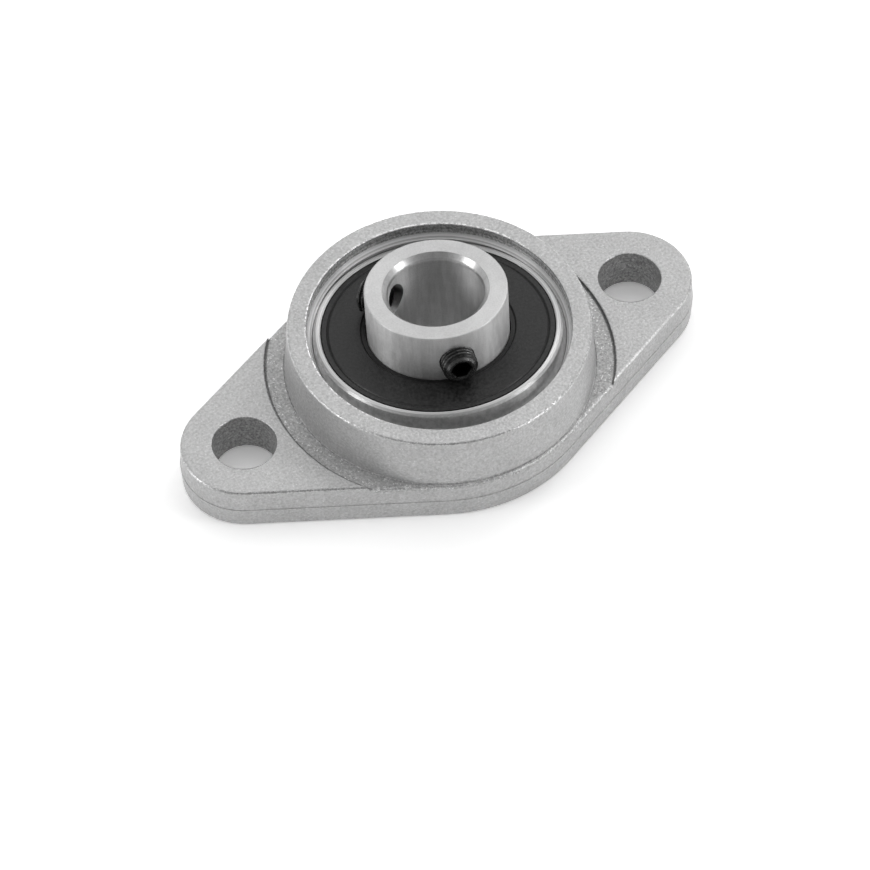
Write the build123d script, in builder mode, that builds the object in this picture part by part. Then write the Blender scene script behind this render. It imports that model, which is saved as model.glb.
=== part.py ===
from build123d import *
import os
from math import sqrt

# Two-bolt flange bearing unit for an 8 mm shaft.
# Origin at the centre of the mounting face, +Z along the boss towards the collar, +X along the bolt line.

# Driving dimensions, millimetres and degrees

# Rings
bore_radius = 4.0
collar_wall = 2.0
collar_length = 4.4
inner_race_depth = 0.5
outer_race_depth = 0.78
seal_ledge = 1.15
ring_rim = 0.53
ring_edge_chamfer = 0.15
recess_edge_chamfer = 0.1
collar_edge_radius = 0.12
mouth_chamfer = 0.5
mouth_blend_radius = 0.4
back_bore_chamfer = 0.3

# Balls
ball_count = 7
ball_radius = 1.985
ball_clearance = 0.03
race_relief = 0.075

# Cage
cage_band = 1.5
cage_sheet = 0.3
pocket_clearance = 0.08
rivet_radius = 0.35
rivet_head_radius = 0.6
rivet_head_height = 0.18
rivet_clearance = 0.01

# Seals
seal_thickness = 0.8
seal_inside_gap = 0.255
seal_sunk = 0.08
seal_foot = 0.12
seal_clearance = 0.02
seal_rim_width = 0.58
seal_groove = 0.13
seal_lip_gap = 0.1
seal_lip_width = 0.35

# Set screws
screw_radius = 1.5
screw_length = 2.5
screw_clearance = 0.03
screw_gap = 0.15
front_screw_stand = 1.2
side_screw_stand = 0.85
screw_chamfer = 0.25
socket_across_flats = 1.5
socket_depth = 1.2
cup_radius = 0.75
cup_depth = 0.3
front_screw_heading = -101.8
side_screw_heading = 129.5

# Spherical seat, and how the insert leans in it
insert_setback = 1.07
seat_clearance = 0.04
seat_cover = 2.75
back_lip = 0.25
back_chamfer = 0.35
lean_angle = 6.0
lean_heading = 78.4

# Boss
lip_rise = 0.38
mouth_depth = 1.05
mouth_clearance = 0.15
mouth_draft_step = 0.05
mouth_edge_radius = 0.1
boss_wall = 1.6
boss_draft_step = 0.4
boss_edge_radius = 0.25
boss_root_radius = 0.12

# Flange
bolt_hole_radius = 2.68
ear_wall = 2.82
ear_height = 4.2
band_depth = 0.3
band_width = 1.67
step_to_hole = 1.0
waist_ledge = 0.35
parting_height = 2.05
parting_step = 0.05
flange_draft = 2.5
flange_edge_radius = 0.28
hole_edge_radius = 0.14
hole_back_chamfer = 0.45
ear_step_edge_radius = 0.12

# How far cuts run past the faces they open, and how near two radii are that select one edge
cut_margin = 1.0
same_radius = 0.01

# Values worked out from them

# Rings and balls, from the bore outwards
collar_radius = bore_radius + collar_wall
inner_race_bottom = collar_radius - inner_race_depth
ball_circle = inner_race_bottom + ball_clearance + ball_radius
outer_race_bottom = ball_circle + ball_radius + ball_clearance
outer_shoulder_radius = outer_race_bottom - outer_race_depth
seal_recess_radius = outer_shoulder_radius + seal_ledge
race_radius = ball_radius + race_relief
inner_race_centre = inner_race_bottom + race_radius
outer_race_centre = outer_race_bottom - race_radius
inner_race_half = sqrt(race_radius**2 - (inner_race_centre - collar_radius) ** 2)
outer_race_half = sqrt(race_radius**2 - (outer_shoulder_radius - outer_race_centre) ** 2)

# Along the shaft, from the balls to the ring's faces and the collar's end
pocket_radius = ball_radius + pocket_clearance
cup_outer_radius = pocket_radius + cage_sheet
cage_inner_radius = ball_circle - cage_band / 2
cage_outer_radius = ball_circle + cage_band / 2
ball_step = 360 / ball_count
seal_bottom = cup_outer_radius + seal_inside_gap
seal_top = seal_bottom + seal_thickness
recess_floor = seal_bottom - seal_foot
half_width = seal_top + seal_sunk
collar_height = half_width + collar_length
screw_height = half_width + screw_gap + screw_radius

seal_outer_radius = seal_recess_radius - seal_clearance
seal_inner_radius = collar_radius + seal_lip_gap
seal_lip_radius = seal_inner_radius + seal_lip_width
seal_groove_radius = seal_outer_radius - seal_rim_width

# The outer ring's sphere, and the seat that holds it
ring_face_radius = seal_recess_radius + ring_rim
swivel_radius = sqrt(ring_face_radius**2 + half_width**2)
chamfer_half_width = half_width - ring_edge_chamfer
chamfer_radius = sqrt(swivel_radius**2 - chamfer_half_width**2)
seat_radius = swivel_radius + seat_clearance
seat_height = half_width + insert_setback
lip_height = seat_height + seat_cover
lip_radius = sqrt(seat_radius**2 - seat_cover**2)
back_opening_radius = swivel_radius - back_lip
back_seat_height = seat_height - sqrt(seat_radius**2 - back_opening_radius**2)

# Boss and flange, grown from the seat
mouth_height = lip_height + lip_rise
boss_height = mouth_height + mouth_depth
mouth_radius = swivel_radius + mouth_clearance
boss_top_radius = mouth_radius + boss_wall
boss_base_radius = boss_top_radius + boss_draft_step
waist_radius = boss_base_radius + waist_ledge
ear_step_radius = boss_base_radius + band_width
bolt_circle_radius = ear_step_radius + step_to_hole + bolt_hole_radius
bolt_spacing = 2 * bolt_circle_radius
tip_radius = bolt_hole_radius + ear_wall
band_height = ear_height - band_depth
boss_root_outer = boss_base_radius + boss_root_radius
root_top = band_height + boss_root_radius
step_top = ear_height - ear_step_edge_radius
step_cut_radius = ear_step_radius + ear_step_edge_radius

# The insert's own frame: origin at the sphere centre, z along the shaft
upright = Location((0, 0, seat_height), (0, 0, lean_heading))
leaning = upright * Location((0, 0, 0), (0, lean_angle, 0))
insert_frame = leaning * Location((0, 0, 0), (0, 0, -lean_heading))
insert_plane = Plane(insert_frame)
insert_axis = Axis(insert_plane.origin, insert_plane.z_dir)
# Sections of the turned pieces: x is the radius, y the height along the shaft
insert_section = Plane(insert_plane.origin, x_dir=insert_plane.x_dir, z_dir=-insert_plane.y_dir)
parting_plane = Plane.XY.offset(parting_height)

os.makedirs("parts", exist_ok=True)


def write(part, name):
    """Label a finished piece and write it as its own file."""
    part.label = name
    export_step(part, f"parts/{name}.step")


def circles(part, radius):
    """The round edges of one radius."""
    return part.edges().filter_by(GeomType.CIRCLE).filter_by(lambda e: abs(e.radius - radius) < same_radius)


# Housing, one casting: rhombic flange with raised ears, round boss and spherical seat

with BuildSketch(parting_plane) as outline:
    with Locations((-bolt_circle_radius, 0), (bolt_circle_radius, 0)):
        Circle(tip_radius)
    Circle(waist_radius)
    make_hull()

# Below the parting line the sides draw in towards the mounting face
with BuildPart() as flange_back:
    extrude(outline.sketch, amount=-parting_height)
    draft(flange_back.faces().filter_by(Axis.Z, reverse=True), parting_plane, -flange_draft)
    fillet(flange_back.edges().group_by(Axis.Z)[0], flange_edge_radius)

# Above it they stand back a little and draw in towards the sunk band round the boss
with BuildSketch(parting_plane) as front_outline:
    offset(outline.sketch, amount=-parting_step)
with BuildPart() as flange_front:
    extrude(front_outline.sketch, amount=band_height - parting_height)
    draft(flange_front.faces().filter_by(Axis.Z, reverse=True), parting_plane, flange_draft)
    fillet(flange_front.edges().group_by(Axis.Z)[-1], flange_edge_radius)

# The two ears stand a step above the band
with BuildPart() as ears:
    extrude(front_outline.sketch, amount=ear_height - parting_height)
    draft(ears.faces().filter_by(Axis.Z, reverse=True), parting_plane, flange_draft)
    fillet(ears.edges().group_by(Axis.Z)[-1], flange_edge_radius)
    # Round step with a soft upper edge, cut by one turned section
    with BuildSketch(Plane.XZ):
        with BuildLine():
            Polyline(
                (ear_step_radius, step_top),
                (ear_step_radius, 0),
                (0, 0),
                (0, ear_height + cut_margin),
                (step_cut_radius, ear_height + cut_margin),
                (step_cut_radius, ear_height),
            )
            RadiusArc((ear_step_radius, step_top), (step_cut_radius, ear_height), ear_step_edge_radius)
        make_face()
    revolve(axis=Axis.Z, mode=Mode.SUBTRACT)

with BuildPart() as housing:
    add(flange_back.part)
    add(flange_front.part)
    add(ears.part)
    # Boss, tapered by its draft, with a soft root
    with BuildSketch(Plane.XZ) as boss_section:
        with BuildLine():
            Polyline(
                (boss_root_outer, band_height),
                (boss_root_outer, parting_height),
                (0, parting_height),
                (0, boss_height),
                (boss_top_radius, boss_height),
                (boss_base_radius, root_top),
            )
            RadiusArc((boss_base_radius, root_top), (boss_root_outer, band_height), boss_root_radius)
        make_face()
    revolve(axis=Axis.Z)
    fillet(housing.edges().group_by(Axis.Z)[-1], boss_edge_radius)
    # Mouth, swaged lip, spherical seat and back opening
    with BuildSketch(Plane.XZ) as seat_section:
        with BuildLine():
            Polyline(
                (lip_radius, lip_height),
                (mouth_radius - mouth_draft_step, mouth_height),
                (mouth_radius, boss_height + cut_margin),
                (0, boss_height + cut_margin),
                (0, -cut_margin),
                (back_opening_radius, -cut_margin),
                (back_opening_radius, back_seat_height),
            )
            ThreePointArc(
                (back_opening_radius, back_seat_height),
                (seat_radius, seat_height),
                (lip_radius, lip_height),
            )
        make_face()
    revolve(axis=Axis.Z, mode=Mode.SUBTRACT)
    fillet(housing.edges().group_by(Axis.Z)[-1].sort_by(SortBy.LENGTH)[0], mouth_edge_radius)
    chamfer(circles(housing, back_opening_radius).group_by(Axis.Z)[0], back_chamfer)
    # Bolt holes with softened rims
    with Locations(Plane.XY.offset(ear_height)):
        with GridLocations(bolt_spacing, 0, 2, 1):
            Hole(bolt_hole_radius)
    hole_rims = circles(housing, bolt_hole_radius).group_by(Axis.Z)
    fillet(hole_rims[-1], hole_edge_radius)
    chamfer(hole_rims[0], hole_back_chamfer)
write(housing.part, "housing")


# Outer ring: spherical outside, raceway and a recess for each seal

with BuildPart() as outer_ring:
    with BuildSketch(insert_section):
        with BuildLine():
            ThreePointArc(
                (chamfer_radius, -chamfer_half_width),
                (swivel_radius, 0),
                (chamfer_radius, chamfer_half_width),
            )
            Polyline(
                (chamfer_radius, chamfer_half_width),
                (ring_face_radius - ring_edge_chamfer, half_width),
                (seal_recess_radius + recess_edge_chamfer, half_width),
                (seal_recess_radius, half_width - recess_edge_chamfer),
                (seal_recess_radius, recess_floor),
                (outer_shoulder_radius, recess_floor),
                (outer_shoulder_radius, outer_race_half),
            )
            ThreePointArc(
                (outer_shoulder_radius, outer_race_half),
                (outer_race_bottom, 0),
                (outer_shoulder_radius, -outer_race_half),
            )
            Polyline(
                (outer_shoulder_radius, -outer_race_half),
                (outer_shoulder_radius, -recess_floor),
                (seal_recess_radius, -recess_floor),
                (seal_recess_radius, -half_width + recess_edge_chamfer),
                (seal_recess_radius + recess_edge_chamfer, -half_width),
                (ring_face_radius - ring_edge_chamfer, -half_width),
                (chamfer_radius, -chamfer_half_width),
            )
        make_face()
    revolve(axis=insert_axis)
write(outer_ring.part, "outer_ring")


# Set screws stand on radial planes of the collar
def screw_plane(heading):
    """Plane whose origin is on the shaft axis and whose z points out along one set screw."""
    turned = insert_frame * Location((0, 0, screw_height), (0, 0, heading))
    return Plane(turned * Location((0, 0, 0), (0, 90, 0)))


screw_planes = {
    "set_screw_front": screw_plane(front_screw_heading),
    "set_screw_side": screw_plane(side_screw_heading),
}
# How far each screw's outer end stands out of the collar
screw_stands = {"set_screw_front": front_screw_stand, "set_screw_side": side_screw_stand}

# Inner ring: raceway, and the long collar bored for the shaft and the set screws
with BuildPart() as inner_ring:
    with BuildSketch(insert_section):
        with BuildLine():
            Polyline(
                (collar_radius, inner_race_half),
                (collar_radius, collar_height),
                (bore_radius + mouth_chamfer, collar_height),
                (bore_radius, collar_height - mouth_chamfer),
                (bore_radius, -half_width + back_bore_chamfer),
                (bore_radius + back_bore_chamfer, -half_width),
                (collar_radius, -half_width),
                (collar_radius, -inner_race_half),
            )
            ThreePointArc(
                (collar_radius, -inner_race_half), (inner_race_bottom, 0), (collar_radius, inner_race_half)
            )
        make_face()
    revolve(axis=insert_axis)
    ends = circles(inner_ring, collar_radius).group_by(insert_axis)
    fillet(ends[0] + ends[-1], collar_edge_radius)
    fillet(circles(inner_ring, bore_radius).group_by(insert_axis)[-1], mouth_blend_radius)
    for plane in screw_planes.values():
        with BuildSketch(plane):
            Circle(screw_radius + screw_clearance)
        extrude(amount=collar_radius + cut_margin, mode=Mode.SUBTRACT)
write(inner_ring.part, "inner_ring")

for name, plane in screw_planes.items():
    # Socket in the outer end, cup in the end that bites on the shaft
    outer_end = plane.offset(collar_radius + screw_stands[name])
    inner_end = outer_end.offset(-screw_length)
    with BuildPart() as set_screw:
        with BuildSketch(inner_end):
            Circle(screw_radius)
        extrude(amount=screw_length)
        chamfer(set_screw.edges(), screw_chamfer)
        with BuildSketch(outer_end):
            RegularPolygon(socket_across_flats / 2, 6, major_radius=False)
        extrude(amount=-socket_depth, mode=Mode.SUBTRACT)
        with BuildSketch(inner_end):
            Circle(cup_radius)
        extrude(amount=cup_depth, taper=45, mode=Mode.SUBTRACT)
    write(set_screw.part, name)


# Seals: rubber rings pressed into the outer ring's recesses, one the mirror of the other

with BuildPart() as front_seal:
    with BuildSketch(insert_section):
        with BuildLine():
            Polyline(
                (seal_outer_radius, recess_floor),
                (seal_outer_radius, seal_top),
                (seal_groove_radius + seal_groove, seal_top),
                (seal_groove_radius, seal_top - seal_groove),
                (seal_groove_radius - seal_groove, seal_top),
                (seal_lip_radius + seal_groove, seal_top),
                (seal_lip_radius, seal_top - seal_groove),
                (seal_inner_radius, seal_top - seal_groove),
                (seal_inner_radius, seal_top - seal_thickness / 2),
                (seal_lip_radius, seal_bottom),
                (outer_shoulder_radius, seal_bottom),
                (outer_shoulder_radius, recess_floor),
                close=True,
            )
        make_face()
    revolve(axis=insert_axis)
write(front_seal.part, "front_seal")

with BuildPart() as back_seal:
    add(mirror(front_seal.part, about=insert_plane, mode=Mode.PRIVATE))
write(back_seal.part, "back_seal")


# Balls, evenly round their circle

for number in range(ball_count):
    with BuildPart(insert_plane) as ball:
        with PolarLocations(ball_circle, 1, start_angle=number * ball_step):
            Sphere(ball_radius)
    write(ball.part, f"ball_{number + 1}")


# Ball cage: two pressed halves whose webs meet between the balls, cups over the balls, and rivets

with BuildPart(insert_plane) as cage_front_half:
    with BuildSketch(insert_plane):
        Circle(cage_outer_radius)
    extrude(amount=cage_sheet)
    with PolarLocations(ball_circle, ball_count):
        Sphere(cup_outer_radius)
    with BuildSketch(insert_plane):
        Circle(cage_outer_radius)
        Circle(cage_inner_radius, mode=Mode.SUBTRACT)
    extrude(amount=cup_outer_radius + cut_margin, mode=Mode.INTERSECT)
    with PolarLocations(ball_circle, ball_count):
        Sphere(pocket_radius, mode=Mode.SUBTRACT)
    with BuildSketch(insert_plane):
        with PolarLocations(ball_circle, ball_count, start_angle=ball_step / 2):
            Circle(rivet_radius + rivet_clearance)
    extrude(amount=cage_sheet, mode=Mode.SUBTRACT)
write(cage_front_half.part, "cage_front_half")

with BuildPart() as cage_back_half:
    add(mirror(cage_front_half.part, about=insert_plane, mode=Mode.PRIVATE))
write(cage_back_half.part, "cage_back_half")

with BuildPart() as cage_rivets:
    with BuildSketch(insert_plane.offset(-cage_sheet)):
        with PolarLocations(ball_circle, ball_count, start_angle=ball_step / 2):
            Circle(rivet_radius)
    extrude(amount=2 * cage_sheet)
    for side in (1, -1):
        with BuildSketch(insert_plane.offset(side * cage_sheet)):
            with PolarLocations(ball_circle, ball_count, start_angle=ball_step / 2):
                Circle(rivet_head_radius)
        extrude(amount=side * rivet_head_height)
write(cage_rivets.part, "cage_rivets")
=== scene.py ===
import bmesh
import bpy
from math import cos, floor, pi, radians, sin
from mathutils import Matrix, Vector


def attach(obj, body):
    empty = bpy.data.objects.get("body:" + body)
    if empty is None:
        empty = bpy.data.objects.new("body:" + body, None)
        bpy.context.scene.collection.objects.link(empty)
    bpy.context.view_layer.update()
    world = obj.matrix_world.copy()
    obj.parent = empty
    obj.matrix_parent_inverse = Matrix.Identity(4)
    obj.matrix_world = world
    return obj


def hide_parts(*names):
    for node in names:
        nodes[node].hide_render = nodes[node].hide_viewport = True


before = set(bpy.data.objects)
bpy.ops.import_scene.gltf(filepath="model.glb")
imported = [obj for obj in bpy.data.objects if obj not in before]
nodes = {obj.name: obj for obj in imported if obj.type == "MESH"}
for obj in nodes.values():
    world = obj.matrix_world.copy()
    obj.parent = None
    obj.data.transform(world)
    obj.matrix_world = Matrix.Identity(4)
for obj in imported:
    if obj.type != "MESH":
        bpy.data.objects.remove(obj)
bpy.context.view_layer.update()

# Flange bearing unit: looks for the cast housing, the insert's rings, seals and set screws.
# Metres, in the frame of the solids: origin at the centre of the mounting face, +Z along the boss.

mm = 0.001

# The insert's frame, repeated from the solids
seat_height = 4.57 * mm
lean_angle = radians(6.0)
lean_heading = radians(78.4)
insert_place = (
    Matrix.Translation((0, 0, seat_height))
    @ Matrix.Rotation(lean_heading, 4, "Z")
    @ Matrix.Rotation(lean_angle, 4, "Y")
    @ Matrix.Rotation(-lean_heading, 4, "Z")
)

# Housing zones that the finish tells apart: radii about the boss, heights over the mounting face
boss_foot_radius = 13.15 * mm
ear_step_radius = 14.82 * mm
bolt_circle_radius = 18.5 * mm
bolt_hole_radius = 2.68 * mm
ear_height = 4.2 * mm
band_height = 3.9 * mm
parting_height = 2.05 * mm
back_opening_height = 1.5 * mm
boss_height = 8.75 * mm
mouth_height = 7.7 * mm
mouth_radius = 11.15 * mm

# Insert zones: radii about the shaft, heights over the insert's middle plane
half_width = 3.5 * mm
flank_radius = 9.95 * mm
collar_height = 7.9 * mm
collar_wall_radius = 5.7 * mm
bore_mouth_radius = 4.6 * mm
bore_mouth_height = 7.3 * mm
bore_radius = 4.05 * mm
seal_edge_radius = 9.76 * mm
seal_groove_inside = 9.2 * mm
seal_groove_outside = 9.44 * mm
seal_rim_radius = 9.28 * mm
seal_shade_radius = 6.3 * mm

# Set screws: each tip's distance from the shaft axis, and each heading about it
screw_radius = 1.5 * mm
screw_length = 2.5 * mm
screw_height = 5.15 * mm
screw_tips = {"set_screw_front": 7.2 * mm, "set_screw_side": 6.85 * mm}
screw_headings = {"set_screw_front": radians(-101.8), "set_screw_side": radians(129.5)}


def screw_place(name):
    """Frame of one set screw: origin on the shaft axis, z out along the screw."""
    lifted = insert_place @ Matrix.Translation((0, 0, screw_height))
    return lifted @ Matrix.Rotation(screw_headings[name], 4, "Z") @ Matrix.Rotation(pi / 2, 4, "Y")


# Node building

def add_node(tree, kind, inputs=(), **settings):
    """A node with its settings, its sockets filled by number or linked."""
    node = tree.nodes.new(kind)
    for key, value in settings.items():
        setattr(node, key, value)
    for socket, value in dict(inputs).items():
        if isinstance(value, bpy.types.NodeSocket):
            tree.links.new(value, node.inputs[socket])
        else:
            node.inputs[socket].default_value = value
    return node


def add_math(tree, operation, *values):
    """What a Math node gives for these values."""
    return add_node(tree, "ShaderNodeMath", dict(enumerate(values)), operation=operation).outputs[0]


class Finish:
    """A material under construction: one Principled shader, and short calls that add nodes to it."""

    def __init__(self, name, color, metallic, roughness):
        self.material = bpy.data.materials.new(name)
        self.material.use_nodes = True
        self.tree = self.material.node_tree
        self.shader = self.tree.nodes["Principled BSDF"]
        self.material.diffuse_color = (*color, 1)
        self.shader.inputs["Base Color"].default_value = (*color, 1)
        self.shader.inputs["Metallic"].default_value = metallic
        self.shader.inputs["Roughness"].default_value = roughness
        self.place = self.node("ShaderNodeTexCoord").outputs["Object"]

    def node(self, kind, inputs=(), **settings):
        return add_node(self.tree, kind, inputs, **settings)

    def set(self, socket, value):
        self.tree.links.new(value, self.shader.inputs[socket])

    def math(self, operation, *values):
        return add_math(self.tree, operation, *values)

    def times(self, first, *others):
        for other in others:
            first = self.math("MULTIPLY", first, other)
        return first

    def plus(self, first, *others):
        for other in others:
            first = self.math("ADD", first, other)
        return first

    def minus(self, a, b):
        return self.math("SUBTRACT", a, b)

    def outside_of(self, zone):
        """One where the zone is zero, and zero where it is one."""
        return self.minus(1.0, zone)

    def mix(self, factor, a, b):
        """One value or the other, by factor."""
        inputs = {"Factor": factor, "A": a, "B": b}
        return self.node("ShaderNodeMix", inputs, data_type="FLOAT").outputs["Result"]

    def range(self, value, low, high, to_low=0.0, to_high=1.0):
        """The value's span turned into another one, softly and held at its ends."""
        inputs = {"Value": value, "From Min": low, "From Max": high, "To Min": to_low, "To Max": to_high}
        return self.node("ShaderNodeMapRange", inputs, interpolation_type="SMOOTHSTEP").outputs["Result"]

    def graded(self, noise, to_low, to_high):
        """Noise spread from one value to another."""
        return self.range(noise, 0.3, 0.7, to_low, to_high)

    def sharply_graded(self, noise, to_low, to_high):
        return self.range(noise, 0.35, 0.65, to_low, to_high)

    def between(self, value, low, high, soft):
        """One inside the span and zero outside it, with soft ends."""
        rise = self.range(value, low - soft, low + soft)
        return self.times(rise, self.range(value, high - soft, high + soft, 1.0, 0.0))

    def grey(self, value):
        inputs = {"Red": value, "Green": value, "Blue": value}
        return self.node("ShaderNodeCombineColor", inputs).outputs["Color"]

    def bump(self, height, depth):
        inputs = {"Height": height, "Distance": depth, "Strength": 1.0}
        return self.node("ShaderNodeBump", inputs).outputs["Normal"]

    def brushed(self, amount):
        """Gloss drawn out across lines that run round the z axis."""
        self.set("Anisotropic", amount)
        self.shader.inputs["Anisotropic Rotation"].default_value = 0.25
        around = self.node("ShaderNodeTangent", direction_type="RADIAL", axis="Z")
        self.set("Tangent", around.outputs["Tangent"])

    def noise(self, size, detail, rough, vector=None):
        """Noise whose grains are about this size."""
        inputs = {"Vector": vector or self.place, "Scale": 1 / size, "Detail": detail, "Roughness": rough}
        return self.node("ShaderNodeTexNoise", inputs).outputs["Fac"]

    def along(self, place=None):
        """Position in another frame: radius about its z, height along it, and the turned vector."""
        turned = self.place
        if place is not None:
            inverse = place.inverted()
            turned = self.node(
                "ShaderNodeMapping",
                {"Vector": self.place, "Location": inverse.to_translation(), "Rotation": inverse.to_euler()},
            ).outputs["Vector"]
        x, y, z = self.node("ShaderNodeSeparateXYZ", {"Vector": turned}).outputs
        radius = self.math("SQRT", self.plus(self.times(x, x), self.times(y, y)))
        return radius, z, turned

    def rings(self, radius, height, radial_size, height_size):
        """Noise drawn out into circles about the axis, as a lathe or a grinding wheel leaves."""
        stretched = self.node(
            "ShaderNodeCombineXYZ",
            {"X": self.math("DIVIDE", radius, radial_size), "Y": self.math("DIVIDE", height, height_size)},
        ).outputs["Vector"]
        inputs = {"Vector": stretched, "Scale": 1.0, "Detail": 3.0}
        return self.node("ShaderNodeTexNoise", inputs).outputs["Fac"]


# Finishes

def blasted_casting():
    """Blasted zinc: mottled grain, coarser in the sunk band, turned inside the mouth; painted highlights on
    the edges and the mouth's far rim, painted shade in the inner corners, painted light along the parting
    line.
    """
    grain_size = 0.22 * mm
    grain_contrast = 0.34
    band_contrast = 1.9
    painted_corner_shade_level = 0.4
    parting_painted_light = 1.15
    edge_painted_highlight = 0.2
    rim_painted_glint = 0.45
    cast_metallic = 0.55
    edge_metallic = 0.85
    soft_end = 0.03 * mm
    f = Finish("blasted_zinc_casting", (0.5, 0.5, 0.5), cast_metallic, 0.5)
    radius, height, _ = f.along()
    x, y = f.node("ShaderNodeSeparateXYZ", {"Vector": f.place}).outputs[:2]

    # The sunk band, the machined inside with the mouth's wall, and the bolt holes
    in_band = f.times(
        f.between(radius, boss_foot_radius, ear_step_radius, 0.1 * mm),
        f.between(height, band_height - 0.4 * mm, ear_height - 0.08 * mm, 0.06 * mm),
    )
    inside = f.times(
        f.range(radius, mouth_radius + 0.15 * mm, mouth_radius + 0.05 * mm),
        f.between(height, back_opening_height, boss_height - 0.12 * mm, soft_end),
    )
    on_mouth_wall = f.times(inside, f.range(height, mouth_height - 0.02 * mm, mouth_height + 0.04 * mm))
    from_bolt = f.minus(f.math("ABSOLUTE", x), bolt_circle_radius)
    hole_distance = f.math("SQRT", f.plus(f.times(from_bolt, from_bolt), f.times(y, y)))
    in_hole = f.range(hole_distance, bolt_hole_radius + 0.06 * mm, bolt_hole_radius + 0.02 * mm)

    # Rounded edges, which get a painted highlight and catch the light, but not the boss's root
    normal = f.node("ShaderNodeNewGeometry").outputs["Normal"]
    upward = f.node("ShaderNodeSeparateXYZ", {"Vector": normal}).outputs["Z"]
    at_root = f.times(
        f.between(height, band_height + 0.01 * mm, band_height + 0.16 * mm, 0.01 * mm),
        f.range(radius, boss_foot_radius + 0.3 * mm, boss_foot_radius + 0.2 * mm),
    )
    edges = f.times(f.between(upward, 0.35, 0.93, 0.08), f.outside_of(inside), f.outside_of(at_root))

    # Painted shade in the inner corners, and painted light along the parting line
    at_step = f.times(
        f.between(radius, ear_step_radius - 0.16 * mm, ear_step_radius + 0.05 * mm, soft_end),
        f.between(height, band_height - 0.06 * mm, ear_height - 0.05 * mm, soft_end),
    )
    at_foot = f.times(
        f.between(radius, boss_foot_radius - 0.02 * mm, boss_foot_radius + 0.1 * mm, soft_end),
        f.between(height, band_height - 0.06 * mm, band_height + 0.09 * mm, soft_end),
    )
    painted_shade_corners = f.math("MAXIMUM", at_step, f.times(at_foot, 0.95))
    at_parting = f.between(height, parting_height - 0.03 * mm, parting_height + 0.05 * mm, 0.02 * mm)

    # Grain of the casting, lines of the lathe, and painted glints along the mouth's far rim
    fine = f.noise(grain_size, 2.0, 0.55)
    coarse = f.noise(grain_size, 3.0, 0.65)
    grain = f.mix(in_band, fine, coarse)
    cloud = f.noise(2.5 * mm, 2.0, 0.5)
    patches = f.range(f.noise(0.2 * mm, 2.0, 0.6), 0.46, 0.6)
    specks = f.range(f.noise(0.16 * mm, 1.0, 0.4), 0.64, 0.72)
    turned = f.rings(radius, height, 0.05 * mm, 0.05 * mm)
    cuts = f.rings(radius, height, 0.16 * mm, 0.16 * mm)
    to_far_side = f.minus(f.times(y, 0.87), f.times(x, 0.5))
    mouth_rim_glints = f.times(
        f.between(radius, mouth_radius - 0.03 * mm, mouth_radius + 0.13 * mm, 0.02 * mm),
        f.range(height, boss_height - 0.14 * mm, boss_height - 0.08 * mm),
        f.range(coarse, 0.45, 0.58),
        f.range(to_far_side, -3.5 * mm, 1 * mm),
    )

    cast_shade = f.plus(
        f.times(f.minus(grain, 0.5), f.mix(in_band, 1.0, band_contrast), grain_contrast),
        f.mix(in_band, 0.5, 0.46),
        f.graded(cloud, -0.015, 0.015),
        f.times(specks, f.mix(in_band, 0.1, 0.35)),
        # painted highlight on the rounded edges
        f.times(edges, patches, edge_painted_highlight),
    )
    hole_shade = f.plus(f.sharply_graded(coarse, 0.58, 0.84), f.times(specks, 0.25))
    cast_shade = f.times(
        cast_shade,
        # painted shade in the inner corners
        f.mix(painted_shade_corners, 1.0, painted_corner_shade_level),
        # painted light that lightens the parting line's shadow
        f.mix(at_parting, 1.0, parting_painted_light),
        f.mix(in_hole, 1.0, hole_shade),
    )
    turned_shade = f.plus(f.graded(turned, 0.52, 0.66), f.range(cuts, 0.38, 0.6, 0.0, 0.32))
    mouth_wall_shade = f.times(turned_shade, f.sharply_graded(coarse, 0.56, 1.15))
    inside_shade = f.mix(on_mouth_wall, turned_shade, mouth_wall_shade)
    # painted glints along the mouth's far rim
    shade = f.plus(f.mix(inside, cast_shade, inside_shade), f.times(mouth_rim_glints, rim_painted_glint))

    polish = f.plus(f.times(specks, 0.15), f.times(edges, 0.12), f.times(mouth_rim_glints, 0.2))
    cast_rough = f.minus(f.graded(grain, 0.56, 0.42), polish)
    turned_rough = f.range(cuts, 0.38, 0.6, 0.46, 0.34)
    relief = f.mix(inside, grain, f.mix(on_mouth_wall, turned, coarse))
    cast_depth = f.mix(in_band, 0.045 * mm, 0.09 * mm)
    turned_depth = f.mix(on_mouth_wall, 0.004 * mm, 0.03 * mm)

    f.set("Base Color", f.grey(shade))
    f.set("Metallic", f.mix(inside, f.mix(edges, cast_metallic, edge_metallic), 1.0))
    f.set("Roughness", f.mix(inside, cast_rough, turned_rough))
    f.brushed(f.times(inside, 0.92))
    f.set("Normal", f.bump(relief, f.mix(inside, cast_depth, turned_depth)))
    return f.material


def polished_ring_steel():
    """Outer ring: finely turned end faces, and a hazy ground sphere outside them."""
    f = Finish("polished_ring_steel", (0.74, 0.74, 0.74), 1.0, 0.16)
    radius, height, _ = f.along(insert_place)
    on_flank = f.times(
        f.range(height, half_width - 0.06 * mm, half_width - 0.1 * mm),
        f.range(radius, flank_radius, flank_radius + 0.05 * mm),
    )
    lines = f.rings(radius, height, 0.04 * mm, 0.04 * mm)
    cuts = f.rings(radius, height, 0.13 * mm, 0.13 * mm)
    haze = f.noise(0.5 * mm, 3.0, 0.65)
    face_shade = f.plus(f.graded(lines, 0.36, 0.5), f.range(cuts, 0.38, 0.6, 0.0, 0.25))
    flank_shade = f.sharply_graded(haze, 0.4, 0.53)
    f.set("Base Color", f.grey(f.mix(on_flank, face_shade, flank_shade)))
    f.set("Roughness", f.mix(on_flank, f.graded(lines, 0.28, 0.42), 0.3))
    f.brushed(f.mix(on_flank, 1.0, 0.95))
    f.set("Normal", f.bump(lines, 0.003 * mm))
    return f.material


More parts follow.
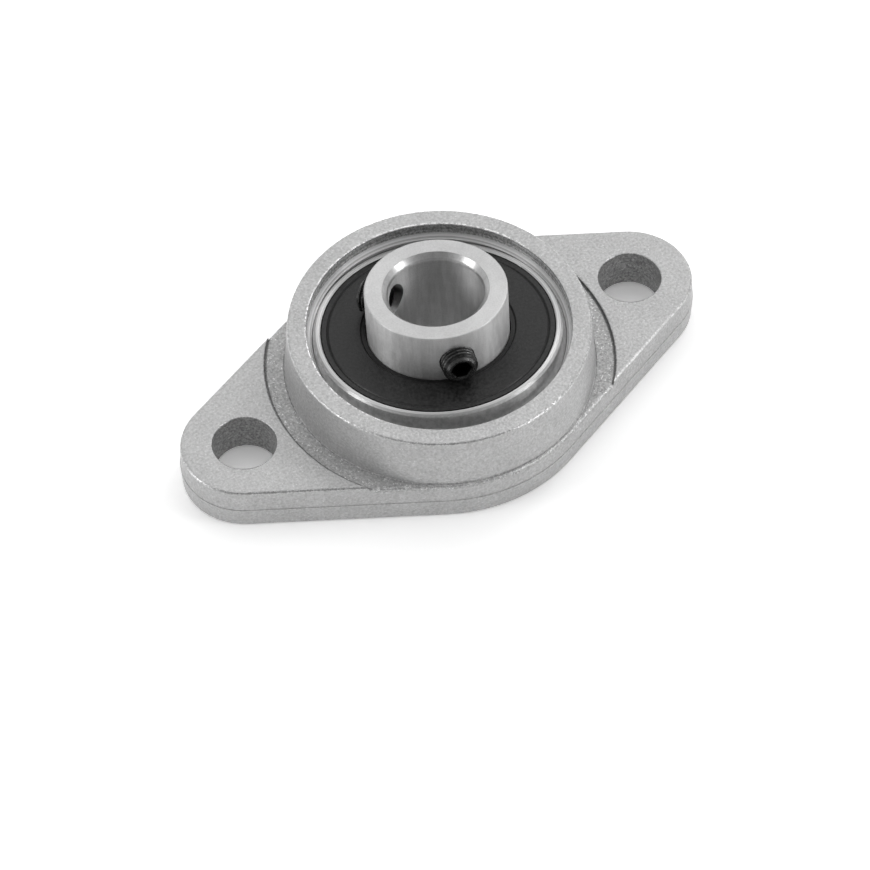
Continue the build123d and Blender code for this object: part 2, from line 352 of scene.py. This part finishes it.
def ground_collar_steel():
    """Inner ring: ground steel, satin on the end face, faintly streaked wall and speckled bore."""
    f = Finish("ground_collar_steel", (0.66, 0.66, 0.66), 1.0, 0.3)
    radius, height, turned_place = f.along(insert_place)
    on_end = f.range(height, collar_height - 0.04 * mm, collar_height - 0.02 * mm)
    off_end = f.outside_of(on_end)
    on_wall = f.times(f.range(radius, collar_wall_radius, collar_wall_radius + 0.1 * mm), off_end)
    in_bore = f.range(radius, bore_radius + 0.05 * mm, bore_radius)
    in_mouth = f.times(
        f.range(radius, bore_mouth_radius, bore_mouth_radius - 0.05 * mm),
        f.range(height, bore_mouth_height, bore_mouth_height + 0.06 * mm),
        off_end,
    )

    turned = f.rings(radius, height, 0.05 * mm, 0.06 * mm)
    grain = f.noise(0.14 * mm, 2.0, 0.6)
    lines = f.mix(f.mix(on_end, 0.5, 0.2), grain, turned)
    cloud = f.noise(1.2 * mm, 3.0, 0.6)
    wear = f.range(f.noise(0.3 * mm, 3.0, 0.7), 0.42, 0.6)
    speckle = f.range(f.noise(0.09 * mm, 2.0, 0.6), 0.4, 0.6)
    drawn_out = f.node("ShaderNodeMapping", {"Vector": turned_place, "Scale": (1.0, 1.0, 0.15)})
    streaks = f.noise(0.5 * mm, 3.0, 0.65, drawn_out.outputs["Vector"])

    shade = f.plus(
        f.range(f.plus(lines, f.times(cloud, 0.4)), 0.4, 1.0, 0.52, 0.66),
        f.times(off_end, f.sharply_graded(streaks, -0.045, 0.035)),
        f.times(in_mouth, 0.05),
        f.times(on_end, -0.03),
        f.times(on_wall, -0.01),
    )
    side_rough = f.plus(f.graded(lines, 0.42, 0.52), f.times(wear, 0.06))
    rough = f.mix(on_end, side_rough, f.graded(lines, 0.38, 0.5))
    side_depth = f.mix(in_bore, 0.004 * mm, 0.007 * mm)

    f.set("Base Color", f.grey(shade))
    f.set("Metallic", f.mix(on_wall, 1.0, 0.9))
    f.set("Roughness", f.mix(in_mouth, rough, 0.29))
    f.brushed(f.mix(in_mouth, f.mix(on_end, f.mix(on_wall, 0.95, 0.82), 0.45), 0.5))
    f.set("Normal", f.bump(f.mix(in_bore, lines, speckle), f.mix(on_end, side_depth, 0.0025 * mm)))
    return f.material


def seal_rubber():
    """Moulded nitrile: satin black with a faint mottle and a finely ringed rim, painted shade beside the
    collar, painted light in the groove and a painted shadow at the outer edge.
    """
    f = Finish("black_seal_rubber", (0.018, 0.018, 0.018), 0.0, 0.42)
    radius, height, _ = f.along(insert_place)
    on_rim = f.range(radius, seal_rim_radius, seal_rim_radius + 0.06 * mm)
    # painted light in the groove, against its shade
    groove_painted_light = f.between(radius, seal_groove_inside, seal_groove_outside, 0.03 * mm)
    # painted shadow at the outer edge: almost black, with little gloss
    edge_painted_shadow = f.range(radius, seal_edge_radius, seal_edge_radius + 0.06 * mm)
    # painted shade beside the collar
    collar_painted_shade = f.range(radius, seal_shade_radius + 0.5 * mm, seal_shade_radius)
    mottle = f.noise(0.28 * mm, 3.0, 0.65)
    lines = f.rings(radius, height, 0.06 * mm, 0.3 * mm)
    shade = f.times(f.sharply_graded(mottle, 0.004, 0.02), f.mix(collar_painted_shade, 1.0, 0.2))
    shade = f.times(f.plus(shade, f.times(groove_painted_light, 0.02)), f.mix(edge_painted_shadow, 1.0, 0.05))
    f.set("Base Color", f.grey(shade))
    f.set("Specular IOR Level", f.mix(edge_painted_shadow, 0.4, 0.05))
    f.set("Roughness", f.mix(on_rim, f.graded(mottle, 0.34, 0.5), 0.36))
    f.set("Normal", f.bump(f.mix(on_rim, mottle, lines), f.mix(on_rim, 0.03 * mm, 0.012 * mm)))
    return f.material


def black_oxide(name):
    """Oiled black oxide on a set screw, rubbed on the thread's crests and on the rim, with painted shade in
    the socket.
    """
    socket_radius = 0.95 * mm
    rim_inside = 0.98 * mm
    rim_outside = 1.3 * mm
    tip = screw_tips[name]
    f = Finish(name + "_black_oxide", (0.03, 0.03, 0.03), 0.5, 0.3)
    radius, height, _ = f.along(screw_place(name))
    bloom = f.noise(0.25 * mm, 3.0, 0.6)
    crest = f.range(radius, screw_radius - 0.09 * mm, screw_radius - 0.02 * mm)
    rim = f.times(
        f.between(radius, rim_inside, rim_outside, 0.05 * mm),
        f.range(height, tip - 0.2 * mm, tip - 0.1 * mm),
    )
    rubbed = f.times(f.math("MAXIMUM", crest, rim), f.range(bloom, 0.35, 0.6, 0.3, 1.0))
    # painted shade in the socket: almost black, with little gloss
    socket_painted_shade = f.times(
        f.range(radius, socket_radius, socket_radius - 0.05 * mm),
        f.range(height, tip - 0.02 * mm, tip - 0.1 * mm),
    )
    shade = f.mix(rubbed, f.graded(bloom, 0.008, 0.03), 0.16)
    f.set("Base Color", f.grey(f.mix(socket_painted_shade, shade, 0.003)))
    f.set("Metallic", f.mix(rubbed, 0.4, 1.0))
    f.set("Roughness", f.mix(rubbed, f.graded(bloom, 0.22, 0.4), 0.25))
    f.set("Specular IOR Level", f.mix(socket_painted_shade, 0.5, 0.1))
    f.set("Normal", f.bump(bloom, 0.004 * mm))
    return f.material


def ball_steel():
    """Lapped bearing balls."""
    f = Finish("lapped_ball_steel", (0.78, 0.78, 0.78), 1.0, 0.06)
    haze = f.noise(0.6 * mm, 2.0, 0.5)
    f.set("Base Color", f.grey(f.graded(haze, 0.74, 0.8)))
    f.set("Roughness", f.graded(haze, 0.04, 0.09))
    return f.material


def cage_sheet():
    """Pressed steel sheet of the ball cage."""
    f = Finish("pressed_cage_sheet", (0.55, 0.54, 0.52), 1.0, 0.38)
    press = f.noise(0.5 * mm, 3.0, 0.6)
    f.set("Base Color", f.grey(f.graded(press, 0.48, 0.6)))
    f.set("Roughness", f.graded(press, 0.32, 0.46))
    f.set("Normal", f.bump(press, 0.004 * mm))
    return f.material


# Mesh building

def piece(name, bm, material):
    """A finished piece: outward faces, smooth with crisp edges."""
    weld_distance = 1e-7
    crisp_angle = radians(35)
    bmesh.ops.remove_doubles(bm, verts=bm.verts, dist=weld_distance)
    bmesh.ops.recalc_face_normals(bm, faces=bm.faces)
    mesh = bpy.data.meshes.new(name)
    bm.to_mesh(mesh)
    bm.free()
    mesh.materials.append(material)
    made = bpy.data.objects.new(name, mesh)
    bpy.context.scene.collection.objects.link(made)
    mesh.shade_smooth()
    mesh.set_sharp_from_angle(angle=crisp_angle)
    return made


def stack_of_rings(bm, segments, rings):
    """A closed skin over rings about z. Each ring is a function of the angle that gives radius and height."""
    loop = bmesh.ops.create_circle(bm, segments=segments, radius=1.0)["verts"]
    angles = [2 * pi * i / segments for i in range(segments)]

    def place(verts, ring):
        for vert, angle in zip(verts, angles):
            radius, height = ring(angle)
            vert.co = (radius * cos(angle), radius * sin(angle), height)

    place(loop, rings[0])
    first = loop
    for ring in rings[1:]:
        edges = [bm.edges.get((loop[i], loop[(i + 1) % segments])) for i in range(segments)]
        grown = bmesh.ops.extrude_edge_only(bm, edges=edges)["geom"]
        fresh = {v for v in grown if isinstance(v, bmesh.types.BMVert)}
        upward = {v: next(e.other_vert(v) for e in v.link_edges if e.other_vert(v) in fresh) for v in loop}
        loop = [upward[v] for v in loop]
        place(loop, ring)
    bm.faces.new(first)
    bm.faces.new(loop)


def threaded_screw(name):
    """Socket set screw: rolled thread, chamfered ends, hexagon socket outside and cup point inside."""
    segments = 96
    rows_per_turn = 12
    pitch = 0.35 * mm
    thread_depth = 0.2 * mm
    flank_slope = 1.3
    crest_width = 0.15
    end_radius = 1.1 * mm
    chamfer_height = 0.32 * mm
    face_radius = 1.02 * mm
    socket_flat = 0.75 * mm
    socket_lead = 0.1 * mm
    socket_depth = 1.2 * mm
    drill_depth = 1.4 * mm
    drill_point = 0.02 * mm
    countersink_share = 1.19
    drill_share = 0.9
    edge_break = 0.01 * mm
    cup_radius = 0.75 * mm
    cup_depth = 0.3 * mm
    top = screw_tips[name]
    bottom = top - screw_length

    def thread(height):
        """Ring of the thread at one height, kept inside the end chamfers."""
        def ring(angle):
            turn = height / pitch - angle / (2 * pi)
            wave = abs(2 * (turn - floor(turn)) - 1)
            groove = min(max(wave * flank_slope - crest_width, 0), 1)
            radius = screw_radius - thread_depth * groove
            to_end = min(height - bottom, top - height)
            cone = end_radius + (screw_radius - end_radius) * min(to_end / chamfer_height, 1)
            return min(radius, cone), height
        return ring

    def hexagon(flat, height):
        def ring(angle):
            from_flat = (angle + pi / 6) % (pi / 3) - pi / 6
            return flat / cos(from_flat), height
        return ring

    def circle(radius, height):
        return lambda angle: (radius, height)

    rows = round(screw_length / pitch * rows_per_turn)
    rings = [circle(drill_point, bottom + cup_depth), circle(cup_radius, bottom)]
    rings += [thread(bottom + screw_length * row / rows) for row in range(rows + 1)]
    rings += [
        circle(face_radius, top),
        circle(socket_flat * countersink_share, top - edge_break),
        hexagon(socket_flat, top - socket_lead),
        hexagon(socket_flat, top - socket_depth),
        circle(socket_flat * drill_share, top - socket_depth - edge_break),
        circle(drill_point, top - drill_depth),
    ]
    bm = bmesh.new()
    stack_of_rings(bm, segments, rings)
    bmesh.ops.transform(bm, matrix=screw_place(name), verts=bm.verts)
    return bm


# Pieces

rubber = seal_rubber()
ball_finish = ball_steel()
cage_finish = cage_sheet()
finishes = {
    "housing": blasted_casting(),
    "outer_ring": polished_ring_steel(),
    "inner_ring": ground_collar_steel(),
    "front_seal": rubber,
    "back_seal": rubber,
    "cage_front_half": cage_finish,
    "cage_back_half": cage_finish,
    "cage_rivets": cage_finish,
}
for name, node in nodes.items():
    if name in finishes:
        node.data.materials[0] = finishes[name]
    elif name.startswith("ball_"):
        node.data.materials[0] = ball_finish

for name in screw_headings:
    screw = piece(name + "_threaded", threaded_screw(name), black_oxide(name))
    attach(screw, name)
    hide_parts(name)


# Floor, light and camera

def pale_floor():
    """Large pale sheet: white to the camera and in reflections, darkened only by the object's own shadow."""
    half_side = 3.0
    gap_below = 0.02 * mm
    sheet_colour = 0.86
    seen_colour = 1.2
    seen_glow = 0.17
    bm = bmesh.new()
    bmesh.ops.create_grid(bm, x_segments=1, y_segments=1, size=half_side)
    mesh = bpy.data.meshes.new("pale_floor")
    bm.to_mesh(mesh)
    bm.free()
    made = bpy.data.objects.new("pale_floor", mesh)
    bpy.context.scene.collection.objects.link(made)
    made.location.z = -gap_below

    material = bpy.data.materials.new("pale_sheet")
    material.use_nodes = True
    tree = material.node_tree
    tree.nodes.clear()
    rays = add_node(tree, "ShaderNodeLightPath").outputs
    seen = add_math(tree, "MAXIMUM", rays["Is Camera Ray"], rays["Is Glossy Ray"])
    seen = add_math(tree, "MAXIMUM", seen, rays["Is Transmission Ray"])
    colour = add_math(tree, "MULTIPLY_ADD", seen, seen_colour - sheet_colour, sheet_colour)
    strength = add_math(tree, "MULTIPLY", seen, seen_glow)
    sheet = add_node(tree, "ShaderNodeBsdfDiffuse", {"Color": colour}).outputs[0]
    glow = add_node(tree, "ShaderNodeEmission", {"Strength": strength}).outputs[0]
    both = add_node(tree, "ShaderNodeAddShader", {0: sheet, 1: glow}).outputs[0]
    add_node(tree, "ShaderNodeOutputMaterial", {"Surface": both})
    mesh.materials.append(material)


def studio_world():
    """Even pale surround, brighter overhead, darker behind the camera."""
    middle_level = 0.54
    overhead_level = 0.08
    dark_depth = 0.38
    dark_middle = (-0.36, -0.7, 0.62)
    dark_edge = 0.6
    dark_full = 0.95
    world = bpy.data.worlds.new("studio")
    bpy.context.scene.world = world
    world.use_nodes = True
    tree = world.node_tree
    direction = add_node(tree, "ShaderNodeTexCoord").outputs["Generated"]
    upward = add_node(tree, "ShaderNodeSeparateXYZ", {0: direction}).outputs["Z"]
    rise = add_math(tree, "MULTIPLY_ADD", upward, overhead_level, middle_level)
    near = add_node(tree, "ShaderNodeVectorMath", {0: direction, 1: dark_middle}, operation="DOT_PRODUCT")
    patch = add_node(
        tree,
        "ShaderNodeMapRange",
        {"Value": near.outputs["Value"], "From Min": dark_edge, "From Max": dark_full, "To Max": dark_depth},
        interpolation_type="SMOOTHSTEP",
    ).outputs["Result"]
    background = tree.nodes["Background"]
    background.inputs["Color"].default_value = (1, 1, 1, 1)
    tree.links.new(add_math(tree, "SUBTRACT", rise, patch), background.inputs["Strength"])


def soft_lamp(name, place, width, height, power):
    """Soft box that looks at the object."""
    light = bpy.data.lights.new(name, "AREA")
    light.shape = "RECTANGLE"
    light.size = width
    light.size_y = height
    light.energy = power
    lamp = bpy.data.objects.new(name, light)
    bpy.context.scene.collection.objects.link(lamp)
    lamp.location = place
    lamp.rotation_euler = (-Vector(place)).to_track_quat("-Z", "Y").to_euler()


def set_camera():
    """The photograph's view: azimuth and elevation about a point on the mounting plane."""
    azimuth = radians(-27.31)
    elevation = radians(51.85)
    roll = radians(-1.43)
    distance = 338.55 * mm
    target = Vector((-2.75, -4.06, 0)) * mm
    back = Vector((sin(azimuth) * cos(elevation), -cos(azimuth) * cos(elevation), sin(elevation)))
    right = Vector((cos(azimuth), sin(azimuth), 0))
    up = back.cross(right)
    rolled_right = cos(roll) * right + sin(roll) * up
    rolled_up = -sin(roll) * right + cos(roll) * up
    view = bpy.data.cameras.new("photo_view")
    view.sensor_width = 36
    view.lens = 165.75
    view.clip_start = 10 * mm
    view.clip_end = 20
    camera = bpy.data.objects.new("photo_view", view)
    bpy.context.scene.collection.objects.link(camera)
    turn = Matrix((rolled_right, rolled_up, back)).transposed().to_4x4()
    camera.matrix_world = Matrix.Translation(target + distance * back) @ turn
    bpy.context.scene.camera = camera


pale_floor()
studio_world()
soft_lamp("overhead_box", place=(0.25, 0.4, 0.8), width=1.2, height=1.2, power=2.7)
soft_lamp("right_box", place=(0.423, -0.355, 0.282), width=0.2, height=0.22, power=0.7)
soft_lamp("back_box", place=(0.41, 0.237, 0.426), width=0.2, height=0.2, power=0.3)
soft_lamp("left_box", place=(-0.538, 0.144, 0.272), width=0.2, height=0.22, power=0.7)
set_camera()
bpy.context.scene.view_settings.view_transform = "Standard"
